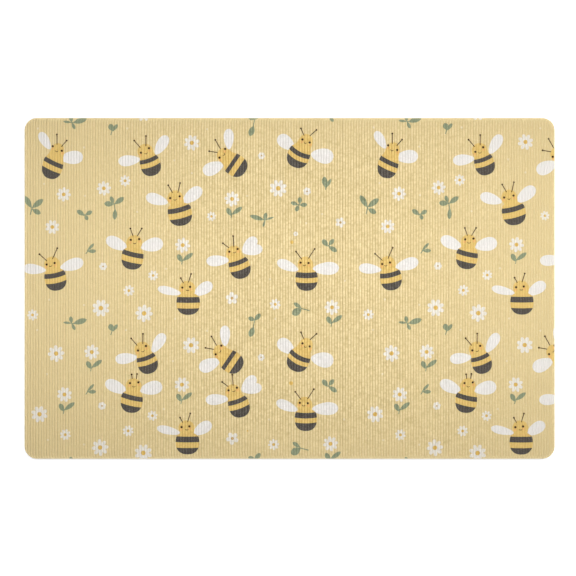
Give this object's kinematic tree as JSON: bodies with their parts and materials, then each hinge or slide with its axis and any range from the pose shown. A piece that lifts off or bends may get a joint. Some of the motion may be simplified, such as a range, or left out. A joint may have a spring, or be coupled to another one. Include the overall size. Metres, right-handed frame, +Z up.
{
  "type": "floor mat",
  "caption": "Flat cushioned floor mat with rounded corners, a ribbed cloth face with a bee and daisy print, a foam core and a rubber backing with grip studs.",
  "frame": {"origin": "centre of the underside, on the plane that the rim and the grip studs rest on", "axes": "+X along the long edges, to the right of the upright print; +Y towards the edge that the print's tops point to; +Z up, out of the printed face"},
  "size_m": [0.7, 0.45, 0.008],
  "materials": {
    "face_cloth": "matt ribbed polyester cloth, printed honey yellow with bees, daisies and sprigs",
    "foam": "fine open-cell foam, off-white, cut edge",
    "adhesive": "thin hot-melt film, cloudy white",
    "backing_rubber": "matt dark grey moulded rubber"
  },
  "bodies": {
    "root": {"rubber_backing": "backing_rubber", "lower_adhesive_film": "adhesive", "foam_core": "foam", "upper_adhesive_film": "adhesive", "printed_face": "face_cloth"}
  },
  "joints": []
}
